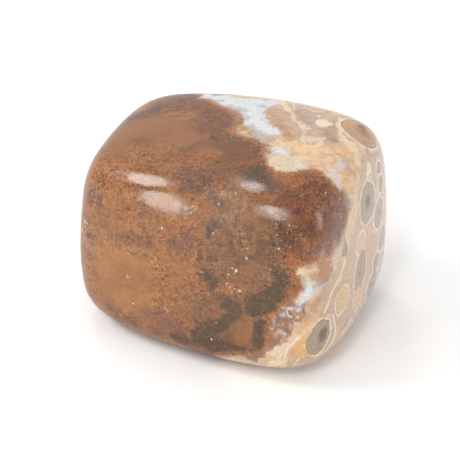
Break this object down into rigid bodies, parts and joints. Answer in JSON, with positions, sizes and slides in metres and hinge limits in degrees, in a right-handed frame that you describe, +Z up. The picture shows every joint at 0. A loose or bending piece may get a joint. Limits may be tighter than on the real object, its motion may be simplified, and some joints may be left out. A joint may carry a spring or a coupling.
{
  "type": "ocean jasper tumbled stone",
  "caption": "Tumbled ocean jasper pebble: a worn-round block with a brown speckled front, a pale chalcedony border and orbicular rings on its right end, lying on a small flat.",
  "frame": {"origin": "under the middle of the stone's box, on the surface that it lies on", "axes": "+X along the stone's length to its orbicular right end, -Y towards its broad brown front, +Z up"},
  "size_m": [0.0284, 0.023, 0.0205],
  "materials": {
    "jasper": "tumble-polished, glossy, with a few small pits"
  },
  "bodies": {
    "root": {"stone": "jasper"}
  },
  "joints": []
}
